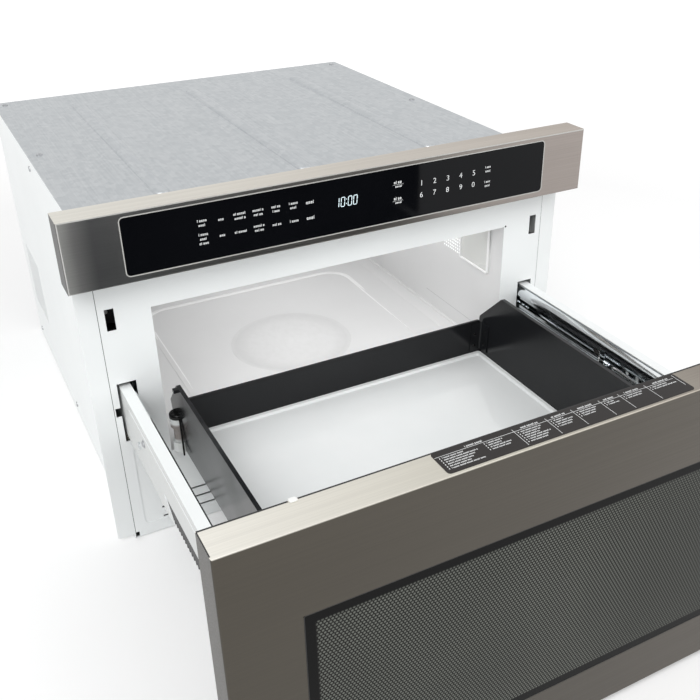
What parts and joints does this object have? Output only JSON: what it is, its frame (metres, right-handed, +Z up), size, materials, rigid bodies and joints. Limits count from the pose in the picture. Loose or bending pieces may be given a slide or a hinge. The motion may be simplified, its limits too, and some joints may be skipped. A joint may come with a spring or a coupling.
{
  "type": "microwave drawer",
  "caption": "Built-in microwave oven with a motor-driven slide-out drawer, glass control panel above it and a white front plate behind.",
  "frame": {"origin": "bottom edge of the white front plate's face, on the centre line, level with the shelf that the oven stands on", "axes": "+X to the user's right, +Y into the cabinet, +Z up"},
  "size_m": [0.6064, 1.03, 0.405],
  "materials": {
    "brushed_front": "dark brushed stainless steel with a clear lacquer",
    "black_glass": "polished black-backed safety glass",
    "white_paint": "satin white powder coat on steel sheet",
    "galvanised": "dull hot-dip galvanised sheet",
    "zinc_rail": "bright zinc-plated, lightly greased",
    "grey_enamel": "light grey baked enamel, slightly glossy",
    "black_lacquer": "glossy black enamel on thick sheet",
    "white_glaze": "glossy white glass-ceramic",
    "mica": "matt light grey mica sheet",
    "clear_lens": "frosted lamp lens",
    "black_plastic": "fine-grained black moulding",
    "gloss_black": "polished black cap",
    "white_plastic": "smooth white acetal",
    "label_film": "printed satin film",
    "circuit_board": "green epoxy laminate",
    "display_film": "dark display window",
    "motor_steel": "plated motor can",
    "gear_nylon": "natural nylon gears on a steel shaft",
    "core_iron": "varnished laminations",
    "copper": "enamelled copper windings",
    "fins": "pressed cooling fins"
  },
  "bodies": {
    "chassis": {"base_plate": "galvanised", "side_panel_left": "white_paint", "side_panel_right": "white_paint", "top_cover": "galvanised", "back_panel": "galvanised", "front_plate": "white_paint", "cavity_floor_pan": "grey_enamel", "cavity_roof_panel": "grey_enamel", "cavity_rear_panel": "grey_enamel", "cavity_side_left": "grey_enamel", "cavity_side_right": "grey_enamel", "stirrer_cover": "mica", "lamp_window": "clear_lens", "cavity_lamp": "black_plastic", "waveguide": "galvanised", "stirrer_motor": "motor_steel", "magnetron": "fins", "transformer_core": "core_iron", "transformer_winding": "copper", "hv_capacitor": "fins", "power_gland": "black_plastic", "fan_shroud": "black_plastic", "fan_motor": "motor_steel", "panel_bezel": "brushed_front", "control_glass": "black_glass", "panel_carrier": "black_plastic", "display_module": "display_film", "control_board": "circuit_board", "rail_brackets": "galvanised", "fixed_rails": "zinc_rail", "shaft_brackets": "black_plastic", "drawer_motor": "motor_steel", "interlock_switches": "black_plastic"},
    "drawer": {"door_skin": "brushed_front", "door_frame": "black_lacquer", "door_glass": "black_glass", "door_screen": "black_plastic", "choke_cover": "black_plastic", "menu_label": "label_film", "latch_hooks": "white_plastic", "basket_wall_left": "black_lacquer", "basket_wall_right": "black_lacquer", "basket_back_wall": "black_lacquer", "glass_tray": "white_glaze", "guide_posts": "white_plastic", "guide_caps": "gloss_black", "rail_arm_left": "white_paint", "rail_arm_right": "white_paint", "rail_moving_left": "zinc_rail", "rail_moving_right": "zinc_rail", "drive_racks": "black_plastic", "arm_screws": "zinc_rail"},
    "middle_rail_left": {"rail_mid_left": "zinc_rail"},
    "middle_rail_right": {"rail_mid_right": "zinc_rail"},
    "cross_shaft": {"drive_shaft": "gear_nylon"},
    "pinion": {"motor_pinion": "gear_nylon"},
    "fan": {"fan_blade": "black_plastic"},
    "stirrer": {"stirrer_antenna": "fins"},
    "plunger_left": {"switch_plunger_left": "white_plastic"},
    "plunger_right": {"switch_plunger_right": "white_plastic"}
  },
  "joints": [
    {"name": "drawer_slide", "type": "slide", "parent": "chassis", "child": "drawer", "axis": [0, 1, 0], "range_m": [0, 0.404]},
    {"name": "middle_rail_left_slide", "type": "slide", "parent": "chassis", "child": "middle_rail_left", "axis": [0, 1, 0], "range_m": [0, 0.202]},
    {"name": "middle_rail_right_slide", "type": "slide", "parent": "chassis", "child": "middle_rail_right", "axis": [0, 1, 0], "range_m": [0, 0.202]},
    {"name": "cross_shaft_spin", "type": "hinge", "parent": "chassis", "child": "cross_shaft", "pos_m": [0, 0.056, 0.095], "axis": [1, 0, 0], "range_deg": [-482.5, 0]},
    {"name": "pinion_spin", "type": "hinge", "parent": "chassis", "child": "pinion", "pos_m": [-0.26, 0.10796, 0.065], "axis": [1, 0, 0], "range_deg": [0, 1930]},
    {"name": "fan_spin", "type": "hinge", "parent": "chassis", "child": "fan", "pos_m": [0.155, 0.555, 0.19], "axis": [0, 1, 0], "continuous": true},
    {"name": "stirrer_spin", "type": "hinge", "parent": "chassis", "child": "stirrer", "pos_m": [0, 0.17, 0.095], "axis": [0, 0, 1], "continuous": true},
    {"name": "plunger_left_press", "type": "slide", "parent": "chassis", "child": "plunger_left", "axis": [0, 1, 0], "range_m": [0, 0.0015], "stiffness_N_per_m": 400},
    {"name": "plunger_right_press", "type": "slide", "parent": "chassis", "child": "plunger_right", "axis": [0, 1, 0], "range_m": [0, 0.0015], "stiffness_N_per_m": 400}
  ],
  "couplings": [
    {"joint": "middle_rail_left_slide", "follows": "drawer_slide", "ratio": 0.5},
    {"joint": "middle_rail_right_slide", "follows": "drawer_slide", "ratio": 0.5},
    {"joint": "cross_shaft_spin", "follows": "drawer_slide", "rad_per_m": -20.833},
    {"joint": "pinion_spin", "follows": "drawer_slide", "rad_per_m": 83.333}
  ]
}
